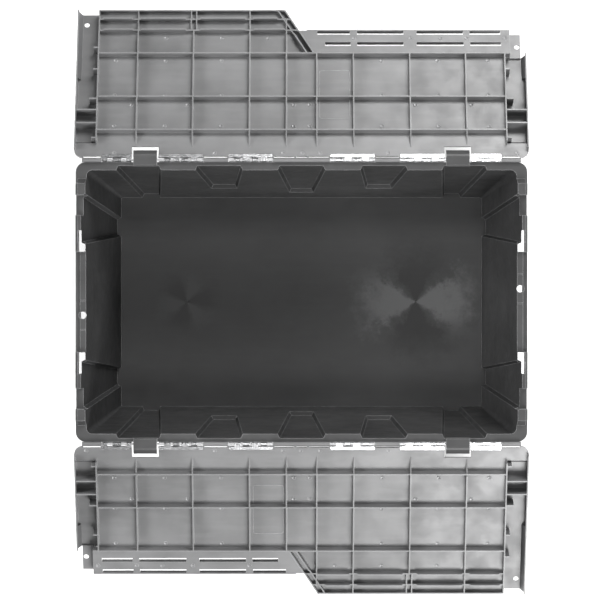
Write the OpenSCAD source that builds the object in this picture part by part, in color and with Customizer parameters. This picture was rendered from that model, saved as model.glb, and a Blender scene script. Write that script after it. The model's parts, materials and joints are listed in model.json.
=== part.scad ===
// Attached lid tote: a tapered open box with two interlocking lids, hinged on steel rods
// along its long rims. The lids are drawn open, hanging a little below level.
// Origin at the middle of the base, +X along the tote, +Z up, millimetres.

/* [Tote] */
// Height of the two hinge axes above the base
hinge_z = 306; // [280:1:340]
// Distance of each hinge axis from the middle of the tote
hinge_y = 214; // [214:1:216]
// Thickness of the moulded walls
wall = 3; // [2.4:0.1:3.2]
// Top of the floor above the base
floor_z = 6; // [6:0.5:8]
// Inside half length at the floor
floor_half_x = 289; // [284:1:292]
// Inside half width at the floor
floor_half_y = 167.5; // [164:0.5:170]
// Inside half length at the rim
rim_half_x = 324.5; // [324:0.1:325]
// Inside half width at the rim
rim_half_y = 199; // [198:0.1:199.5]
// Depth of the panels pressed outward in the walls
panel_depth = 6.5; // [4:0.5:7]
// Width of the slope along a panel's edge
panel_slope = 3; // [2:0.5:4]
// Radius of the inside corners at the floor
floor_corner_r = 3.5; // [3:0.5:5]
// Radius of the inside corners at the rim
rim_inner_r = 9; // [7:0.5:12]

/* [Rim] */
// Half length of the rim over its outer edges
rim_outer_x = 340.8; // [340:0.1:340.8]
// Radius of the rim's outer corners
rim_corner_r = 15; // [13:0.5:18]
// Height of the skirt that hangs from the rim
skirt_h = 36; // [30:1:44]
// Thickness of the skirt
skirt_t = 2.6; // [2:0.1:2.8]
// Half width of the hand-hold in the end rims
handhold_half = 75.5; // [70:0.5:75.5]
// Height of the end rims above the hinge axes
end_rise = 7.4; // [6:0.1:7.4]
// Offset of the seal holes from the middle of the tote
seal_y = 20; // [16:1:24]
// Distance of the seal holes from the middle of the tote, lengthwise
seal_x = 330; // [329.5:0.1:330.5]
// Diameter of the seal holes in the lids
seal_d = 8; // [6:0.2:8.4]

/* [Lids] */
// How far the open lids hang below level, in degrees
droop = 23; // [0:1:60]
// Thickness of the lid plate
plate_t = 2.5; // [2:0.1:2.5]
// Depth of the ribs below the plate
rib_h = 11; // [10:0.5:11]
// Thickness of a rib
rib_t = 1.8; // [1.4:0.1:2]
// Outer half length of a lid
lid_half_x = 343.3; // [343:0.1:345]
// Reach of the longer half of a lid from the hinge axis
long_reach = 251; // [250:0.1:251]
// Reach of the shorter half's step wall
step_reach = 176.2; // [175:0.1:176.3]
// Reach of the shorter half's strip
strip_reach = 215; // [214.5:0.1:215.5]
// Height of the lip round the lid ends, from the raised flange
lip_h = 19; // [14:0.5:20]

/* [Hinges] */
// Radius of the hinge rods
rod_r = 1.6; // [1.4:0.05:1.7]
// Radial clearance of the rods in their knuckles
rod_gap = 0.06; // [0.04:0.01:0.09]
// Outer radius of the steel knuckles
knuckle_r = 2.9; // [2.8:0.05:3]
// Outer radius of the lid's own moulded knuckles
barrel_r = 3.4; // [3.2:0.05:3.5]
// Half length of a hinge rod
rod_half = 331; // [329:0.5:331]

/* [Hidden] */
$fn = 32;

plastic = [0.27, 0.27, 0.28];
lid_plastic = [0.4, 0.4, 0.41];
steel = [0.85, 0.86, 0.88];

// Heights of the rims: the long rims lie just under the hinge axes, the end rims above them
rim_z = hinge_z - 3.2;
end_z = hinge_z + end_rise;
handhold_z = hinge_z + 1;
notch_z = hinge_z - 14;
outer_ledge_z = end_z - 5.5;
skirt_face = hinge_y - knuckle_r;
skirt_z = rim_z - skirt_h;
shelf_t = 3;
top_z = end_z + 1;

// Plan of the end rims, as distances from the middle: the sloped step, the notch for the
// lid's box ribs, the tops of the rim and of its hand-hold, and the two parts of a latch slot
step_span = [179, 186];
notch_span = [130.5, 161.5];
end_top_x = 338;
handhold_top_x = 334;
latch_slot_plan = [[[331.6, 336.6], [90, 108]], [[325.6, 335.6], [76, 91]]];
latch_slot_depth = 12;
// Rim pieces start this far inside the walls' inner face, where the cavity trims them
rim_lap = 2;

// Seal holes through the rim: round with one flat side, in a boss, between two grooves
seal_hole_d = 11;
seal_flat = 3.5;
boss_r = 6.4;
boss_depth = 14;
groove_span = 22;
groove_w = 1.6;
groove_depth = 1.5;

// Gussets between the walls and the skirt, as distances from the middle
gusset_t = 2.4;
gusset_lift = 4;
end_gussets = [50, 110, notch_span[0] - gusset_t, notch_span[1], 174];
long_gussets = [0, 46, 80, 128, 172, 206, 290];

// Foot ring and ribs under the floor
foot_inset = 10;
foot_w = 9;
foot_corner_r = 18;
foot_rib_lift = 1;

// Lid levels, measured from the hinge axis towards the ribbed side
plate_low = -0.8;
plate_top = plate_low + plate_t;
rib_root = plate_top - 0.5;
rib_top = plate_top + rib_h;
strip_top = rib_top - 0.5;
strip_low = strip_top - plate_t;
shallow_top = strip_low - 0.5;
flange_top = -8;
flange_low = flange_top - plate_t;
tab_low = flange_top + 1;
tab_top = tab_low + plate_t;
lip_top = flange_top + lip_h;
lip_t = 2;
// Level at which the leaning part of the lip turns upright, just above the shut rim
lean_top = hinge_z - rim_z - 0.9;

// Plan of a lid: the ribbed field, the flange at each end and the diagonal edge
field_half = 310.9;
lip_inner = lid_half_x - lip_t;
flange_start = [27, 34];
chamfer_start = hinge_y - handhold_half + 2.5;
chamfer_x = 336;
lid_corner_r = 13;
shallow_from = 209;
diag_bottom = [19, 177];
diag_lean = 44 / 74;
diag_inset = 10.5;
cross_ribs = [23, 79, 165, 250];
middle_rib_reach = 236;
rib_tip = 20;
rib_tip_length = 25;
row_ribs = [45.5, 101.5];
// Ribs of the longer half that hook into the slots of the other lid's strip when both are
// shut, the rows of those slots, and their spans along each row
hook_ribs = [216.2, 235.2];
hook_rows = [210.1, 190.8];
hook_spans = [[[24, 74], [85, 156], [176, 247], [257, 304]],
              [[36, 75], [85, 156], [176, 248], [258, 305]]];
hook_w = 6.6;
// Next to the diagonal edge the strip stops short of the other lid's strip
tip_reach = min(strip_reach, hinge_y) - 0.5;
tip_x = 8;
// Walls along both long sides of a slot, from the strip down to this level
slot_wall = 1.6;
slot_wall_low = plate_top + 1.3;
twin_x = cross_ribs[2];
twin_gap = 8;
box_ribs = [57, 79];
// Place and width of the gussets on the end flanges; the longer half has one more
short_gussets = [[32, 6.5], [98, 11], [148, 6.5]];
long_half_gussets = concat(short_gussets, [[185, 6.5]]);
tab_span = [320, 335.4];

// Hinge pattern along one half of an axis: steel leaves, moulded barrels with their slots,
// and the strap of the tote between two leaves
leaf_spans = [[43.6, 110], [149, 215.2], [256.3, 300.7]];
barrel_spans = [[8.4, 43], [110.6, 148.4], [301.4, 331]];
slot_spans = [[10.9, 41.2], [112.2, 146.8], [303, 329]];
centre_slot = 8.4;
slot_w = 2.6;
strap_span = [218, 253.5];
strap_notch = [215.7, 255.8];
strap_notch_u = 22;
strap_r = 4.2;
// Section of a strap: up from its root on the rim, over the rod and down to its lip
strap_profile = [[-9.5, -4], [-9.5, 2.6], [-7.6, strap_r], [6, strap_r], [8.8, 3.4], [15, -2.8],
                 [13.2, -4.6], [6.6, 1.6], [0, 1.6], [-knuckle_r, -4]];
leaf_t = 1.2;
leaf_w = 5;
tote_leaf_h = 12;
knuckle_w = 9.7;

// Wall panels: span at the foot, span at the rim, depth below the rim
full_depth = rim_z - floor_z;
centre_panel = [[-19, 19], [-36, 36], 240];
mid_panel = [[101, 141.6], [88.7, 160.3], 195];
corner_panel = [[226, 255], [212, 280], full_depth];
end_panel = [[105, 135], [88, 162], full_depth];

// ---------- functions ----------

function taper(low, high, z) = low + (high - low) * (z - floor_z) / (rim_z - floor_z);

function wall_x(z) = taper(floor_half_x, rim_half_x, z);

function wall_y(z) = taper(floor_half_y, rim_half_y, z);

function reversed(list) = [for (i = [len(list) - 1:-1:0]) list[i]];

function arc(centre, r, from, to, steps) =
    [for (i = [0:steps]) let (a = from + (to - from) * i / steps) centre + r * [cos(a), sin(a)]];

function all_round(quarter) =
    concat(quarter, [for (p = reversed(quarter)) [-p.x, p.y]],
           [for (p = quarter) -p], [for (p = reversed(quarter)) [p.x, -p.y]]);

function rounded_box(x, y, r) = all_round(arc([x - r, y - r], r, 0, 90, 6));

function inner_corner_r(z) = taper(floor_corner_r, rim_inner_r, z);

// Outline of the walls at height z, grown outward by g
function wall_outline(z, g) = rounded_box(wall_x(z) + g, wall_y(z) + g, inner_corner_r(z) + g);

// Outline of a wall panel at height z, grown outward by g: spans run along the wall, and
// face is the wall's distance from the middle
function panel_outline(panel, face, z, g) =
    let (f = (z - rim_z + panel[2]) / panel[2], k = 0.6 * g, near = face - panel_depth / 2,
         a = panel[0][0] + (panel[1][0] - panel[0][0]) * f - k,
         b = panel[0][1] + (panel[1][1] - panel[0][1]) * f + k)
    [[a, near], [b, near], [b, face + g], [b - panel_slope, face + panel_depth + g],
     [a + panel_slope, face + panel_depth + g], [a, face + g]];

// The same outline turned from a long wall to an end wall
function turned_outline(outline) = [for (p = reversed(outline)) [p.y, p.x]];

// Lengthwise place of the diagonal edge at reach u
function diagonal_x(u) = diag_bottom.x - (u - diag_bottom.y) * diag_lean;

// Reach of the cross rib at x on the longer half
function long_side_reach(x) =
    x == cross_ribs[0] ? middle_rib_reach : x == twin_x ? hook_ribs[0] : long_reach - 1;

// ---------- shared shapes ----------

// Solid between two outlines with the same number of points
module loft(low, z_low, high, z_high) {
    n = len(low);
    corners = concat([for (p = low) [p.x, p.y, z_low]], [for (p = high) [p.x, p.y, z_high]]);
    sides = [for (i = [0:n - 1]) let (j = (i + 1) % n) [i, n + i, n + j, j]];
    polyhedron(corners, concat([[for (i = [0:n - 1]) i], [for (i = [n - 1:-1:0]) n + i]], sides));
}

module block(x, y, z) {
    translate([x[0], y[0], z[0]])
        cube([x[1] - x[0], y[1] - y[0], z[1] - z[0]]);
}

module slab(outline, z) {
    translate([0, 0, z[0]])
        linear_extrude(z[1] - z[0])
            polygon(outline);
}

// Profile in the Y-Z plane, drawn out along X
module along_x(profile, x) {
    translate([x[0], 0, 0])
        rotate([90, 0, 90])
            linear_extrude(x[1] - x[0])
                polygon(profile);
}

// Profile in the X-Z plane, drawn out along Y
module along_y(profile, y) {
    translate([0, y[1], 0])
        rotate([90, 0, 0])
            linear_extrude(y[1] - y[0])
                polygon(profile);
}

module rod_along_x(x, r) {
    translate([x[0], 0, 0])
        rotate([0, 90, 0])
            cylinder(r = r, h = x[1] - x[0]);
}

module both_x() {
    children();
    mirror([1, 0, 0])
        children();
}

module both_y() {
    children();
    mirror([0, 1, 0])
        children();
}

module both_ends() {
    children();
    rotate([0, 0, 180])
        children();
}

module on_hinge() {
    translate([0, hinge_y, hinge_z])
        children();
}

module opened() {
    on_hinge()
        rotate([-droop, 0, 0])
            children();
}

// ---------- tote body ----------

// Heights at which a wall panel starts and ends
function panel_foot(panel, g) = rim_z - panel[2] - g;

function panel_head(g) = g > 0 ? rim_z : rim_z + 1;

module long_panel(panel, g) {
    low = panel_foot(panel, g);
    high = panel_head(g);
    loft(panel_outline(panel, wall_y(low), low, g), low, panel_outline(panel, wall_y(high), high, g), high);
}

module end_wall_panel(g) {
    low = panel_foot(end_panel, g);
    high = g > 0 ? rim_z : top_z;
    loft(turned_outline(panel_outline(end_panel, wall_x(low), low, g)), low,
         turned_outline(panel_outline(end_panel, wall_x(high), high, g)), high);
}

module panels(g) {
    both_y() {
        long_panel(centre_panel, g);
        both_x() {
            long_panel(mid_panel, g);
            long_panel(corner_panel, g);
            end_wall_panel(g);
        }
    }
}

module cavity() {
    loft(wall_outline(floor_z, 0), floor_z, wall_outline(top_z, 0), top_z);
    panels(0);
}

module shell() {
    loft(wall_outline(floor_z - wall, wall), floor_z - wall, wall_outline(rim_z, wall), rim_z);
    panels(wall);
}

module skirt() {
    difference() {
        slab(rounded_box(rim_outer_x, skirt_face, rim_corner_r), [skirt_z, rim_z]);
        slab(rounded_box(rim_outer_x - skirt_t, skirt_face - skirt_t, rim_corner_r - skirt_t),
             [skirt_z - 1, rim_z - shelf_t]);
    }
}

// The end rim rises from the hinge corners over a slope, dips at the notch for the lid's
// box ribs and again at the hand-hold
module end_rim() {
    ledge_x = rim_half_x - rim_lap;
    shelf_z = rim_z - shelf_t;
    along_x([[notch_span[1], shelf_z], [step_span[1] + 2, shelf_z], [step_span[1], rim_z],
             [step_span[0], end_z], [notch_span[1], end_z]], [ledge_x, end_top_x]);
    block([ledge_x, end_top_x], [handhold_half, notch_span[0]], [shelf_z, end_z]);
    block([ledge_x, handhold_top_x], [-1, handhold_half + 1], [shelf_z, handhold_z]);
    intersection() {
        block([seal_x, rim_outer_x], [handhold_half, step_span[0]], [shelf_z, outer_ledge_z]);
        slab(rounded_box(rim_outer_x, skirt_face, rim_corner_r), [0, end_z]);
    }
    block([ledge_x, rim_outer_x - 1], notch_span, [notch_z - shelf_t, notch_z]);
}

module gussets() {
    z = [skirt_z + gusset_lift, rim_z - 1];
    both_x()
        both_y() {
            for (y = end_gussets)
                block([floor_half_x, rim_outer_x - 1], [y, y + gusset_t], z);
            for (x = long_gussets)
                block([x - gusset_t / 2, x + gusset_t / 2], [floor_half_y, skirt_face - 1], z);
        }
}

module seal_boss() {
    translate([seal_x, seal_y, rim_z - boss_depth])
        cylinder(r = boss_r, h = handhold_z - rim_z + boss_depth);
}

module strap() {
    difference() {
        union() {
            along_x(strap_profile, strap_span);
            rod_along_x(strap_span, strap_r - 0.3);
        }
        rod_along_x([strap_span[0] - 1, strap_span[1] + 1], rod_r + rod_gap);
    }
}

module latch_slots() {
    for (plan = latch_slot_plan)
        block(plan[0], plan[1], [rim_z - latch_slot_depth, top_z]);
}

module seal_hole() {
    r = seal_hole_d / 2;
    height = 2 * boss_depth + 12;
    translate([seal_x, seal_y, rim_z - boss_depth - 6])
        intersection() {
            cylinder(r = r, h = height);
            block([-r, seal_flat], [-r - 1, r + 1], [0, height]);
        }
}

module seal_grooves() {
    for (y = [seal_y - groove_span, seal_y + groove_span])
        block([rim_half_x - rim_lap, handhold_top_x + 1], [y - groove_w / 2, y + groove_w / 2],
              [handhold_z - groove_depth, top_z]);
}

module base_foot() {
    half_x = floor_half_x - foot_inset;
    half_y = floor_half_y - foot_inset;
    under = floor_z - wall;
    inner_x = half_x - foot_w / 2;
    inner_y = half_y - foot_w / 2;
    difference() {
        slab(rounded_box(half_x, half_y, foot_corner_r), [0, under + 1]);
        slab(rounded_box(half_x - foot_w, half_y - foot_w, foot_corner_r - foot_w), [-1, under]);
    }
    for (x = [-2, -1, 0, 1, 2] * half_x / 3)
        block([x - gusset_t / 2, x + gusset_t / 2], [-inner_y, inner_y], [foot_rib_lift, under + 1]);
    for (y = [-1, 0, 1] * half_y / 2)
        block([-inner_x, inner_x], [y - gusset_t / 2, y + gusset_t / 2], [foot_rib_lift, under + 1]);
}

module tote_body() {
    color(plastic)
        difference() {
            union() {
                shell();
                skirt();
                gussets();
                base_foot();
                both_ends()
                    seal_boss();
                both_x()
                    both_y() {
                        end_rim();
                        on_hinge()
                            strap();
                    }
            }
            cavity();
            both_x()
                both_y() {
                    latch_slots();
                    block([rim_half_x - 8, rim_outer_x + 1], notch_span, [notch_z, top_z]);
                }
            both_ends() {
                seal_hole();
                seal_grooves();
            }
            both_y()
                on_hinge()
                    rod_along_x([-rod_half, rod_half], rod_r + rod_gap);
        }
}

// ---------- lid ----------

module hinge_band() {
    r = lid_corner_r;
    u = barrel_r;
    outline = concat([[-lid_half_x, flange_start[0]]],
                     arc([-lid_half_x + r, u + r], r, 180, 270, 6),
                     arc([lid_half_x - r, u + r], r, 270, 360, 6),
                     [[lid_half_x, flange_start[0]]]);
    difference() {
        slab(outline, [plate_low, plate_top]);
        both_x() {
            for (s = slot_spans)
                block(s, [u - 1, u + slot_w], [plate_low - 1, plate_top + 1]);
            block(strap_notch, [0, strap_notch_u], [plate_low - 1, plate_top + 1]);
        }
        block([-centre_slot, centre_slot], [u - 1, u + slot_w], [plate_low - 1, plate_top + 1]);
    }
}

module field() {
    slab([[-field_half, strap_notch_u], [field_half, strap_notch_u], [field_half, step_reach],
          [diagonal_x(step_reach), step_reach], [diagonal_x(long_reach), long_reach],
          [-field_half, long_reach]], [plate_low, plate_top]);
}

// Rib square to the hinge, pointed towards it, shallower where the other lid's strip lies
module cross_rib(x, reach) {
    tip = abs(x) > strap_notch[0] && abs(x) < strap_notch[1] ? strap_notch_u + 2 : rib_tip;
    deep = min(reach, shallow_from);
    start = [[tip, rib_root], [tip + rib_tip_length, rib_top], [deep, rib_top]];
    step = reach > deep ? [[deep, shallow_top], [reach, shallow_top]] : [];
    along_x(concat(start, step, [[reach, rib_root]]), [x - rib_t / 2, x + rib_t / 2]);
}

// One of the two ribs that take over from a cross rib in the outer rows of the longer half
module twin_rib(x) {
    block([x - rib_t / 2, x + rib_t / 2], [hook_ribs[0], long_reach - 1], [rib_root, shallow_top]);
}

module row_rib(u, x, top) {
    block(x, [u - rib_t / 2, u + rib_t / 2], [rib_root, top]);
}

// Rib along the diagonal edge between two reaches, inset from the edge
module diagonal_rib(inset, reach, top) {
    a = [diagonal_x(reach[0]) - inset, reach[0]];
    b = [diagonal_x(reach[1]) - inset, reach[1]];
    w = [rib_t + 0.3, 0];
    slab([a - w, a, b, b - w], [plate_low, top]);
}

module ribs() {
    for (x = cross_ribs) {
        cross_rib(x, step_reach - 1);
        cross_rib(-x, long_side_reach(x));
    }
    for (side = [-1, 1])
        twin_rib(-twin_x + side * twin_gap / 2);
    for (u = row_ribs)
        row_rib(u, [-field_half, field_half], rib_top);
    row_rib(step_reach - rib_t / 2, [-field_half, field_half], rib_top);
    for (i = [0, 1]) {
        u = hook_ribs[i];
        row_rib(u, [-field_half, diagonal_x(u) - 1], shallow_top);
        for (s = hook_spans[i])
            row_rib(u, [-s[1] + 1, -s[0] - 1], rib_top);
    }
    row_rib(long_reach - rib_t / 2, [-field_half, diagonal_x(long_reach)], shallow_top);
    diagonal_rib(0, [step_reach - rib_t, tip_reach], rib_top);
    diagonal_rib(0, [tip_reach, long_reach], shallow_top);
    diagonal_rib(diag_inset, [step_reach - rib_t, shallow_from], rib_top);
    diagonal_rib(diag_inset, [shallow_from, long_reach], shallow_top);
}

// Strip along the shorter half, level with the rib tops, slotted for the other lid's ribs,
// with a wall along both long sides of each slot
module strip() {
    inner = step_reach - rib_t;
    end = tab_span[0] - 1.5;
    half_w = hook_w / 2;
    difference() {
        union() {
            slab([[diagonal_x(inner), inner], [end, inner], [end, strip_reach], [tip_x, strip_reach],
                  [tip_x, tip_reach], [diagonal_x(tip_reach), tip_reach]], [strip_low, strip_top]);
            block([diagonal_x(inner), end], [inner, step_reach], [plate_low, strip_top]);
            for (i = [0, 1])
                for (s = hook_spans[i])
                    block(s, [hook_rows[i] - half_w - slot_wall, hook_rows[i] + half_w + slot_wall],
                          [slot_wall_low, strip_low + 1]);
        }
        for (i = [0, 1])
            for (s = hook_spans[i])
                block(s, [hook_rows[i] - half_w, hook_rows[i] + half_w],
                      [slot_wall_low - 1, strip_top + 1]);
    }
    block([end - rib_t, end], [inner, strip_reach], [tab_low, strip_top]);
}

module seal_tab() {
    difference() {
        union() {
            block([tab_span[0] - 3, tab_span[1]], [step_reach - rib_t, strip_reach], [tab_low, tab_top]);
            block([field_half, tab_span[1]], [step_reach - rib_t, step_reach], [flange_low, tab_top]);
        }
        translate([seal_x, hinge_y - seal_y, tab_low - 1])
            cylinder(d = seal_d, h = plate_t + 2);
    }
}

// End flange, raised above the field when the lid is shut, with a lip down its outer edge.
// From chamfer_start outward the lip leans in over the hand-hold.
module end_flange(reach, flange_gussets) {
    near = flange_start[0];
    far = flange_start[1];
    along_x([[near - 1, plate_top], [near, plate_top], [far, flange_top], [far + 1, flange_top],
             [far + 1, flange_low], [far - 1, flange_low], [near - 1, plate_low]],
            [field_half - rib_t, lid_half_x]);
    block([field_half - rib_t, lid_half_x], [far, chamfer_start], [flange_low, flange_top]);
    block([field_half - rib_t, chamfer_x + 1], [chamfer_start, reach], [flange_low, flange_top]);
    along_x([[near, plate_low], [far, flange_low], [reach, flange_low], [reach, plate_top],
             [near, plate_top]], [field_half - rib_t, field_half]);
    block([field_half - rib_t, field_half], [near, min(reach, shallow_from)], [plate_low, rib_top]);
    block([field_half - rib_t, field_half], [near, reach], [plate_low, shallow_top]);
    block([lip_inner, lid_half_x], [lid_corner_r + barrel_r, near + 2], [plate_low, lip_top]);
    along_x([[near, plate_low], [far, flange_low], [chamfer_start, flange_low],
             [chamfer_start, lip_top], [near, lip_top]], [lip_inner, lid_half_x]);
    along_y([[chamfer_x, flange_top], [chamfer_x, flange_low], [chamfer_x + lip_t, flange_low],
             [lid_half_x, lean_top], [lid_half_x, lip_top], [lip_inner, lip_top],
             [lip_inner, lean_top]], [chamfer_start, reach]);
    along_y([[chamfer_x, flange_low], [lid_half_x, flange_low], [lid_half_x, lip_top],
             [lip_inner, lip_top], [lip_inner, lean_top], [chamfer_x, flange_top]],
            [chamfer_start - lip_t, chamfer_start]);
    for (u = box_ribs)
        block([field_half, lip_inner], [u - rib_t / 2, u + rib_t / 2], [flange_top, rib_top]);
    for (g = flange_gussets)
        block([field_half, field_half + g[1]], [g[0] - rib_t / 2, g[0] + rib_t / 2],
              [flange_low, rib_top]);
}

module lid_barrels() {
    difference() {
        union() {
            rod_along_x([-barrel_spans[0][1], barrel_spans[0][1]], barrel_r);
            both_x() {
                for (i = [0:2])
                    barrel_webs(barrel_spans[i], slot_spans[i]);
                for (i = [1, 2])
                    rod_along_x(barrel_spans[i], barrel_r);
            }
        }
        rod_along_x([-rod_half - 1, rod_half + 1], rod_r + rod_gap);
    }
}

module barrel_webs(span, slot) {
    for (x = [[span[0], slot[0]], [slot[1], span[1]]])
        block(x, [0, barrel_r + slot_w], [plate_low, plate_top]);
}

module lid_panel() {
    color(lid_plastic) {
        difference() {
            union() {
                hinge_band();
                field();
                ribs();
                strip();
                seal_tab();
                end_flange(step_reach, short_gussets);
                mirror([1, 0, 0])
                    end_flange(long_reach, long_half_gussets);
                lid_barrels();
            }
            translate([-seal_x, hinge_y + seal_y, flange_low - 1])
                cylinder(d = seal_d, h = plate_t + 2);
        }
    }
}

// ---------- steel hinges ----------

// Places of one leaf's knuckles, as spans along the axis
function knuckles(span, part) =
    let (length = span[1] - span[0], w = knuckle_w / 2)
    length > 50
        ? [for (f = part == "tote" ? [0.2, 0.6] : [0.4, 0.8])
               let (middle = span[0] + length * f) [middle - w, middle + w]]
        : part == "tote"
            ? [let (middle = span[0] + length / 2) [middle - w - 1.6, middle + w + 1.6]]
            : [[span[0], span[0] + w + 3], [span[1] - w - 3, span[1]]];

module knuckle(span) {
    difference() {
        children();
        rod_along_x([span[0] - 1, span[1] + 1], rod_r + rod_gap);
    }
}

module lid_leaf(span) {
    low = knuckle_r - leaf_t;
    edge = barrel_r + 0.1;
    block(span, [edge, edge + leaf_w], [low, knuckle_r]);
    for (k = knuckles(span, "lid"))
        knuckle(k) {
            union() {
                rod_along_x(k, knuckle_r);
                block(k, [0, edge], [low, knuckle_r]);
            }
        }
}

module tote_leaf(span) {
    edge = knuckle_r + 0.5;
    block(span, [-knuckle_r, -knuckle_r + leaf_t], [-tote_leaf_h, -edge]);
    for (k = knuckles(span, "tote"))
        knuckle(k) {
            union() {
                rod_along_x(k, knuckle_r);
                block(k, [-knuckle_r, -knuckle_r + leaf_t], [-edge, 0]);
            }
        }
}

// The six leaves of one side, numbered from -X to +X
all_leaf_spans = concat([for (s = reversed(leaf_spans)) [-s[1], -s[0]]], leaf_spans);

module hinge_rod() {
    color(steel)
        on_hinge()
            rod_along_x([-rod_half, rod_half], rod_r);
}

module turned(side) {
    rotate([0, 0, side == "rear" ? 0 : 180])
        children();
}

tote_body();
turned("rear") hinge_rod();  // rear_hinge_rod
turned("front") hinge_rod();  // front_hinge_rod
for (side = ["rear", "front"], i = [1:6]) {
    color(steel) turned(side) on_hinge() tote_leaf(all_leaf_spans[i - 1]);
    color(steel) turned(side) opened() lid_leaf(all_leaf_spans[i - 1]);
}
turned("rear") opened() lid_panel();  // rear_lid_panel
turned("front") opened() lid_panel();  // front_lid_panel
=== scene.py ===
"""Looks of the attached lid tote: dark moulded plastic, bright steel hinges, studio light from above."""

import json
import math

import bmesh
import bpy
from mathutils import Matrix, Vector


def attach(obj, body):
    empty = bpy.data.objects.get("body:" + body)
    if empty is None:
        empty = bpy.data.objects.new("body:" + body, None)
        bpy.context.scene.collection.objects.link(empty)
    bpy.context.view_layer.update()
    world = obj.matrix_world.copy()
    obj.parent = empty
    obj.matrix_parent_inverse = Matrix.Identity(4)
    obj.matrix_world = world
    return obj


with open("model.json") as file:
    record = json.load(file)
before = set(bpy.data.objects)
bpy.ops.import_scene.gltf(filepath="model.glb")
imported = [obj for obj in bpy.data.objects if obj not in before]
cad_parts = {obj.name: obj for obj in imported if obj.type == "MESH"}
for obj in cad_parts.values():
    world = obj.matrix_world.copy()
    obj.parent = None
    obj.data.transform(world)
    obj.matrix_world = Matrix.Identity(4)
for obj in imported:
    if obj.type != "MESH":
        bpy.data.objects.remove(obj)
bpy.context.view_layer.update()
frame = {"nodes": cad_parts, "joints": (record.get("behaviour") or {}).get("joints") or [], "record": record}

MM = 0.001


# ---------- places taken from the frame ----------

joints = {joint["name"]: joint for joint in frame["joints"]}
hinge_y = joints["rear_lid_hinge"]["pos_m"][1]
hinge_z = joints["rear_lid_hinge"]["pos_m"][2]

# A seal hole stands square to its lid, so its axis tells how far the open lid droops
mounts = {mount["name"]: mount for mount in frame["record"]["mounts"]}
lid_normal = Vector(mounts["rear_long_seal_hole"]["axis"])
droop = math.atan2(lid_normal.y, lid_normal.z)

# The rear lid's own axes: X along the hinge, Y out from it, Z towards the ribbed side
rear_lid = Matrix.Translation((0, hinge_y, hinge_z)) @ Matrix.Rotation(-droop, 4, "X")
lid_places = {
    "rear_lid": rear_lid,
    "front_lid": Matrix.Rotation(math.pi, 4, "Z") @ rear_lid,
}


# ---------- layout, in mm ----------

# Tops of the tote's floor, and of the plate and the slotted strip of a lid
FLOOR_TOP = 6
PLATE_TOP = 1.7
STRIP_TOP = 12.2

# The two gates in the tote's floor lie this far to each side of its middle
GATE_X = 183

# Rows of pin marks, by their distance from the hinge
MAIN_ROWS = (56, 108, 167.5)
RIB_SIDE_ROW = 92
BAND_ROW = 10.8
OUTER_ROW = 206
STRIP_ROW = 200.4

# Places of pin marks along the hinge
CELL_SPOTS = (122, 207.5)
END_SPOT = 284
RIB_SPOTS = (173, 258)
MIDDLE_SPOT = 12
BAND_SPOTS = (-283, -131, -28, 1, 28, 131, 325)
OUTER_SPOTS = (-122, -207.5, -51)
STRIP_SPOTS = (80, 166, 213, 252, 311)

# A pin mark is a dimple inside a raised ring, closed underneath: its section as (radius, height)
PIN_SECTION = ((0.9, 0.06), (1.7, 0.1), (2.3, 0.42), (2.9, 0.46), (3.4, 0.12), (3.5, -0.3))
PIN_SIDES = 20

# Low ridge round the place for a label, as (inset, height) across it, and its outer corners
RIDGE_SECTION = ((0, -0.3), (0.2, 0.4), (0.9, 0.4), (1.1, -0.3))
LABEL_LOW = (27, 68)
LABEL_HIGH = (74, 151)
LABEL_CORNER = 4
CORNER_STEPS = 5


# ---------- node helpers ----------

# The colour sockets of a Mix node
MIX_A = 6
MIX_B = 7
MIX_RESULT = 2


def grey(level):
    """A grey with a slight blue cast."""
    return (level, level * 1.005, level * 1.02, 1.0)


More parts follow.
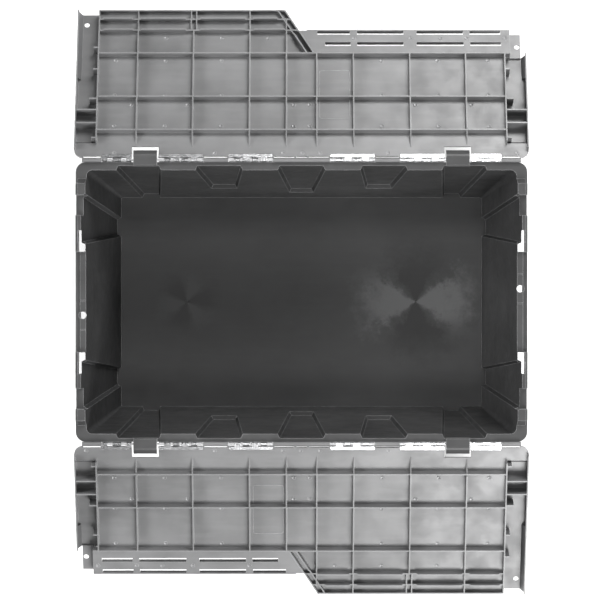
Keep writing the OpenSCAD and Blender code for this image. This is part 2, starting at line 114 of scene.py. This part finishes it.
class Graph:
    """A material's node tree, with short calls for the nodes used here."""

    def __init__(self, name):
        self.material = bpy.data.materials.new(name)
        self.material.use_nodes = True
        self.nodes = self.material.node_tree.nodes
        self.links = self.material.node_tree.links
        self.nodes.clear()
        self.shader = self.nodes.new("ShaderNodeBsdfPrincipled")
        output = self.nodes.new("ShaderNodeOutputMaterial")
        self.links.new(self.shader.outputs["BSDF"], output.inputs["Surface"])
        self.place = self.nodes.new("ShaderNodeTexCoord").outputs["Object"]

    def feed(self, socket, value):
        """Joins a socket to a node's output, or gives it a plain value."""
        if isinstance(value, bpy.types.NodeSocket):
            self.links.new(value, socket)
        else:
            socket.default_value = value

    def surface(self, name, value):
        """Sets one input of the shader."""
        self.feed(self.shader.inputs[name], value)

    def noise(self, scale, detail=3.0, roughness=0.55, stretch=None, seed=0.0):
        place = self.place
        if stretch or seed:
            mapping = self.nodes.new("ShaderNodeMapping")
            mapping.inputs["Scale"].default_value = stretch or (1, 1, 1)
            mapping.inputs["Location"].default_value = (seed, seed * 0.7, seed * 1.3)
            self.links.new(place, mapping.inputs["Vector"])
            place = mapping.outputs["Vector"]
        node = self.nodes.new("ShaderNodeTexNoise")
        node.inputs["Scale"].default_value = scale
        node.inputs["Detail"].default_value = detail
        node.inputs["Roughness"].default_value = roughness
        self.links.new(place, node.inputs["Vector"])
        return node.outputs["Fac"]

    def ramp(self, value, low, high, low_value=0.0, high_value=1.0):
        """Smooth step from low_value at low to high_value at high."""
        node = self.nodes.new("ShaderNodeMapRange")
        node.interpolation_type = "SMOOTHSTEP"
        self.feed(node.inputs["From Min"], low)
        self.feed(node.inputs["From Max"], high)
        self.feed(node.inputs["To Min"], low_value)
        self.feed(node.inputs["To Max"], high_value)
        self.links.new(value, node.inputs["Value"])
        return node.outputs["Result"]

    def math(self, operation, a, b=0.0):
        node = self.nodes.new("ShaderNodeMath")
        node.operation = operation
        self.feed(node.inputs[0], a)
        self.feed(node.inputs[1], b)
        return node.outputs["Value"]

    def times(self, a, b):
        return self.math("MULTIPLY", a, b)

    def plus(self, a, b):
        return self.math("ADD", a, b)

    def minus(self, a, b):
        return self.math("SUBTRACT", a, b)

    def mix(self, factor, a, b):
        node = self.nodes.new("ShaderNodeMix")
        node.data_type = "RGBA"
        self.feed(node.inputs["Factor"], factor)
        self.feed(node.inputs[MIX_A], a)
        self.feed(node.inputs[MIX_B], b)
        return node.outputs[MIX_RESULT]

    def bump(self, height, distance, strength, normal=None):
        node = self.nodes.new("ShaderNodeBump")
        node.inputs["Strength"].default_value = strength
        node.inputs["Distance"].default_value = distance
        self.links.new(height, node.inputs["Height"])
        if normal is not None:
            self.links.new(normal, node.inputs["Normal"])
        return node.outputs["Normal"]

    def axes(self):
        """The X, Y and Z of a point in the shared frame."""
        node = self.nodes.new("ShaderNodeSeparateXYZ")
        self.links.new(self.place, node.inputs["Vector"])
        return node.outputs

    def sharp_edge_mask(self, radius):
        """1 on sharp edges, 0 on flat faces."""
        bevel = self.nodes.new("ShaderNodeBevel")
        bevel.samples = 4
        bevel.inputs["Radius"].default_value = radius
        geometry = self.nodes.new("ShaderNodeNewGeometry")
        dot = self.nodes.new("ShaderNodeVectorMath")
        dot.operation = "DOT_PRODUCT"
        self.links.new(bevel.outputs["Normal"], dot.inputs[0])
        self.links.new(geometry.outputs["Normal"], dot.inputs[1])
        return self.ramp(dot.outputs["Value"], low=0.99, high=0.8)


# ---------- materials ----------

PLASTIC_IOR = 1.5

# Share of each mark that shows, and how much lighter than the plastic it is
STREAK_SHARE = 0.25
STREAK_GAIN = 1.25
SCUFF_SHARE = 0.3
SCUFF_GAIN = 1.7
# The share and width of the painted edge highlight on sharp edges, partly rubbed wear
EDGE_SHARE = 0.75
EDGE_RADIUS = 1.1 * MM


def plastic_tone(graph, base, light):
    """Colour of moulded plastic: cloudy flow marks, streaks and scuffs."""
    clouds = graph.ramp(graph.noise(9, 4, 0.6), 0.35, 0.68)
    streaks = graph.ramp(graph.noise(16, 3, 0.5, stretch=(1, 7, 1), seed=3.1), 0.42, 0.72)
    scuffs = graph.ramp(graph.noise(70, 4, 0.7, stretch=(9, 1, 1), seed=6.3), 0.66, 0.8)
    tone = graph.mix(clouds, grey(base), grey(light))
    tone = graph.mix(graph.times(streaks, STREAK_SHARE), tone, grey(light * STREAK_GAIN))
    return graph.mix(graph.times(scuffs, SCUFF_SHARE), tone, grey(light * SCUFF_GAIN))


def plastic_surface(graph, rough, swell):
    """Patchy gloss and a fine grain over the slow waves of a moulded sheet."""
    patches = graph.noise(30, 5, 0.62, seed=8.4)
    graph.surface("Roughness", graph.ramp(patches, 0.3, 0.75, rough - 0.06, rough + 0.09))
    grain = graph.bump(graph.noise(900, 2, 0.5), distance=0.05 * MM, strength=0.6)
    waves = graph.noise(14, 2, 0.5, seed=5.7)
    graph.surface("Normal", graph.bump(waves, distance=swell, strength=0.4, normal=grain))
    graph.surface("IOR", PLASTIC_IOR)


def paint_edge_highlight_and_wear(graph, tone, edge_highlight_tone):
    """Joins a colour to the shader, with the sharp edges painted a lighter tone: a painted edge highlight,
    partly rubbed wear.
    """
    # Sharp edges painted lighter: a painted edge highlight, partly rubbed wear
    edges = graph.times(graph.sharp_edge_mask(EDGE_RADIUS), EDGE_SHARE)
    graph.surface("Base Color", graph.mix(edges, tone, grey(edge_highlight_tone)))


def gate_mark(graph, tone, centre_x, lobes, turn, reach, light, dark):
    """Flow mark round a gate in the tote's floor: light and dark wedges that fade outward."""
    x, y, z = graph.axes()
    across = graph.minus(x, centre_x)
    squares = graph.plus(graph.math("POWER", across, 2.0), graph.math("POWER", y, 2.0))
    distance = graph.math("SQRT", squares)
    ragged = graph.minus(graph.times(graph.noise(45, 6, 0.72, seed=1.7), 2.4), 1.2)
    angle = graph.plus(graph.times(graph.math("ARCTAN2", y, across), lobes), turn)
    wave = graph.math("COSINE", graph.plus(angle, ragged))
    torn = graph.plus(distance, graph.times(ragged, 0.35 * reach))
    fade = graph.ramp(torn, reach, 0.35 * reach)
    on_floor = graph.ramp(z, (FLOOR_TOP + 2) * MM, (FLOOR_TOP + 1) * MM)
    fade = graph.times(fade, on_floor)
    bright = graph.times(graph.ramp(wave, 0.0, 0.75), fade)
    dim = graph.times(graph.ramp(wave, 0.0, -0.6), fade)
    tone = graph.mix(bright, tone, grey(light))
    return graph.mix(dim, tone, grey(dark))


def lid_material():
    """The lids' plastic, a shade lighter than the tote's."""
    graph = Graph("lid_plastic")
    tone = plastic_tone(graph, base=0.075, light=0.1)
    plastic_surface(graph, rough=0.37, swell=0.35 * MM)
    paint_edge_highlight_and_wear(graph, tone, edge_highlight_tone=0.24)
    return graph.material


def lid_painted_highlight_material():
    """The lids' plastic painted lighter as a highlight on the raised pin marks and label ridge, and glossier
    where the mould polished it.
    """
    graph = Graph("lid_plastic_painted_highlight")
    # Lighter than the lids' own plastic: painted highlight on the raised marks
    tone = plastic_tone(graph, base=0.1, light=0.13)
    plastic_surface(graph, rough=0.28, swell=0.1 * MM)
    paint_edge_highlight_and_wear(graph, tone, edge_highlight_tone=0.34)
    return graph.material


def tote_material():
    """The tote's near-black plastic, with a large pale flow mark and a small faint one."""
    graph = Graph("tote_plastic")
    tone = plastic_tone(graph, base=0.024, light=0.03)
    plastic_surface(graph, rough=0.4, swell=0.12 * MM)
    large = {"centre_x": GATE_X * MM, "lobes": 2.0, "turn": 0.0, "reach": 115 * MM}
    small = {"centre_x": -GATE_X * MM, "lobes": 3.0, "turn": 2.6, "reach": 60 * MM}
    tone = gate_mark(graph, tone, light=0.1, dark=0.01, **large)
    tone = gate_mark(graph, tone, light=0.042, dark=0.012, **small)
    paint_edge_highlight_and_wear(graph, tone, edge_highlight_tone=0.3)
    return graph.material


def steel(name, level, rough):
    """Bright drawn steel with fine lines along its length and a few dull spots."""
    graph = Graph(name)
    lines = graph.noise(240, 3, 0.6, stretch=(0.6, 14, 14), seed=2.0)
    spots = graph.ramp(graph.noise(120, 3, 0.5), 0.55, 0.75)
    tone = graph.mix(graph.times(spots, 0.4), grey(level), grey(level * 0.6))
    graph.surface("Base Color", tone)
    graph.surface("Metallic", 1.0)
    graph.surface("Roughness", graph.ramp(lines, 0.3, 0.7, rough - 0.08, rough + 0.1))
    graph.surface("Normal", graph.bump(lines, distance=0.04 * MM, strength=0.5))
    return graph.material


def studio_material():
    """Matt, nearly white ground."""
    graph = Graph("pale_floor")
    tone = graph.mix(graph.noise(0.8, 2), (0.8, 0.8, 0.8, 1), (0.83, 0.83, 0.83, 1))
    graph.surface("Base Color", tone)
    graph.surface("Roughness", 0.9)
    return graph.material


def dress_cad_nodes():
    """Gives each CAD node the material of its kind."""
    for name, node in frame["nodes"].items():
        if name.endswith("lid_panel"):
            material = lid_plastic
        elif name == "tote_body":
            material = tote_plastic
        elif name.endswith("hinge_rod"):
            material = rod_steel
        else:
            material = leaf_steel
        node.data.materials.clear()
        node.data.materials.append(material)


# ---------- moulding marks ----------


def pin_spots():
    """Places of one lid's pin marks, as (x, u, level): along the hinge, out from it, and height."""
    spots = [(x, BAND_ROW, PLATE_TOP) for x in BAND_SPOTS]
    spots += [(x, OUTER_ROW, PLATE_TOP) for x in OUTER_SPOTS]
    spots += [(x, STRIP_ROW, STRIP_TOP) for x in STRIP_SPOTS]
    for side in (-1, 1):
        spots += [(side * x, u, PLATE_TOP) for x in CELL_SPOTS + (END_SPOT,) for u in MAIN_ROWS]
        spots += [(side * x, RIB_SIDE_ROW, PLATE_TOP) for x in RIB_SPOTS]
        spots += [(side * MIDDLE_SPOT, u, PLATE_TOP) for u in (RIB_SIDE_ROW, MAIN_ROWS[0])]
    return spots


def pin_mark(mesh, spot):
    """Adds one closed ring-shaped mark."""
    x, u, level = spot
    rings = []
    for radius, height in PIN_SECTION:
        ring = []
        for step in range(PIN_SIDES):
            angle = math.tau * step / PIN_SIDES
            corner = Vector((x + radius * math.cos(angle), u + radius * math.sin(angle), level + height))
            ring.append(mesh.verts.new(corner * MM))
        rings.append(ring)
    mesh.faces.new(rings[0])
    for inner, outer in zip(rings, rings[1:]):
        join_loops(mesh, inner, outer)
    mesh.faces.new(list(reversed(rings[-1])))


def join_loops(mesh, inner, outer):
    """Adds the band of faces between two closed loops with as many corners each."""
    for step in range(len(inner)):
        after = (step + 1) % len(inner)
        mesh.faces.new((inner[step], outer[step], outer[after], inner[after]))


def rounded_loop(low, high, radius):
    """Corners of a rounded rectangle, anticlockwise."""
    points = []
    for turn, (at_high_x, at_high_y) in enumerate(((1, 1), (0, 1), (0, 0), (1, 0))):
        centre_x = high[0] - radius if at_high_x else low[0] + radius
        centre_y = high[1] - radius if at_high_y else low[1] + radius
        for step in range(CORNER_STEPS + 1):
            angle = math.radians(90 * (turn + step / CORNER_STEPS))
            points.append((centre_x + radius * math.cos(angle), centre_y + radius * math.sin(angle)))
    return points


def label_frame(mesh):
    """Adds the low ridge round the place for a label."""
    loops = []
    for inset, height in RIDGE_SECTION:
        low = [side + inset for side in LABEL_LOW]
        high = [side - inset for side in LABEL_HIGH]
        corners = rounded_loop(low, high, LABEL_CORNER - inset)
        loops.append([mesh.verts.new(Vector((x, u, PLATE_TOP + height)) * MM) for x, u in corners])
    for inner, outer in zip(loops, loops[1:] + loops[:1]):
        join_loops(mesh, inner, outer)


def add_piece(name, mesh, body, material, place=None):
    """Makes a piece of a mesh, moves it to its place and has it ride on a body."""
    bmesh.ops.recalc_face_normals(mesh, faces=mesh.faces)
    data = bpy.data.meshes.new(name)
    mesh.to_mesh(data)
    mesh.free()
    if place is not None:
        data.transform(place)
    data.shade_smooth()
    data.set_sharp_from_angle(angle=math.radians(50))
    data.materials.append(material)
    piece = bpy.data.objects.new(name, data)
    bpy.context.collection.objects.link(piece)
    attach(piece, body)


def add_pin_marks(lid, place):
    mesh = bmesh.new()
    for spot in pin_spots():
        pin_mark(mesh, spot)
    # The pin marks take the lighter plastic with painted highlight
    add_piece(lid + "_pin_marks", mesh, lid, lid_plastic_painted_highlight, place)


def add_label_frame(lid, place):
    mesh = bmesh.new()
    label_frame(mesh)
    # The ridge takes the lighter plastic with painted highlight
    add_piece(lid + "_label_frame", mesh, lid, lid_plastic_painted_highlight, place)


def add_gate_marks():
    mesh = bmesh.new()
    for side in (-1, 1):
        pin_mark(mesh, (side * GATE_X, 0, FLOOR_TOP))
    add_piece("floor_gate_marks", mesh, "tote", tote_plastic)


# ---------- studio ----------

# Sizes in metres, powers in watts
GROUND_HALF = 14
CAMERA_HEIGHT = 4.75
CAMERA_OFFSET = (-0.0023, 0.003)
CAMERA_LENS = 189
SENSOR_WIDTH = 36
WORLD_STRENGTH = 0.17


def studio_floor():
    half = GROUND_HALF
    corners = [(-half, -half, 0), (half, -half, 0), (half, half, 0), (-half, half, 0)]
    data = bpy.data.meshes.new("studio_floor")
    data.from_pydata(corners, [], [(0, 1, 2, 3)])
    data.materials.append(studio_material())
    ground = bpy.data.objects.new("studio_floor", data)
    bpy.context.collection.objects.link(ground)


def world_light():
    world = bpy.data.worlds.new("studio")
    world.use_nodes = True
    background = world.node_tree.nodes["Background"]
    background.inputs["Color"].default_value = (1, 1, 1, 1)
    background.inputs["Strength"].default_value = WORLD_STRENGTH
    bpy.context.scene.world = world


def camera():
    """Looks straight down, from high above the hinges."""
    data = bpy.data.cameras.new("camera")
    data.sensor_width = SENSOR_WIDTH
    data.lens = CAMERA_LENS
    data.clip_end = 100
    eye = bpy.data.objects.new("camera", data)
    eye.location = (*CAMERA_OFFSET, hinge_z + CAMERA_HEIGHT)
    bpy.context.collection.objects.link(eye)
    bpy.context.scene.camera = eye


def softbox(name, place, target, size, power):
    """A rectangular area light at a place, turned towards a target."""
    data = bpy.data.lights.new(name, "AREA")
    data.shape = "RECTANGLE"
    data.size, data.size_y = size
    data.energy = power
    lamp = bpy.data.objects.new(name, data)
    lamp.location = place
    lamp.rotation_euler = (Vector(target) - Vector(place)).to_track_quat("-Z", "Y").to_euler()
    bpy.context.collection.objects.link(lamp)


def softboxes():
    """A large box beyond each lid, one past the left end, and two high over the lids."""
    softbox("rear_softbox", place=(1.5, 3.2, 2.95), target=(0.15, 0.3, 0.25), size=(2.4, 1.5), power=255)
    softbox("front_softbox", place=(1.5, -3.2, 2.95), target=(0.15, -0.3, 0.25), size=(2.4, 1.5), power=285)
    softbox("left_softbox", place=(-2.4, 0, 1.6), target=(-1.0, 0, 0), size=(2.6, 0.8), power=125)
    for side in (-1, 1):
        name = "top_softbox_%d" % side
        softbox(name, place=(0.4, side * 1.7, 5.6), target=(0.1, 0, 0), size=(1.6, 0.7), power=44)


# ---------- making ----------

lid_plastic = lid_material()
tote_plastic = tote_material()
lid_plastic_painted_highlight = lid_painted_highlight_material()
leaf_steel = steel("leaf_steel", level=0.42, rough=0.2)
rod_steel = steel("rod_steel", level=0.42, rough=0.36)
dress_cad_nodes()

for lid, place in lid_places.items():
    add_pin_marks(lid, place)
    add_label_frame(lid, place)
add_gate_marks()

studio_floor()
world_light()
camera()
softboxes()
bpy.context.scene.view_settings.view_transform = "Standard"
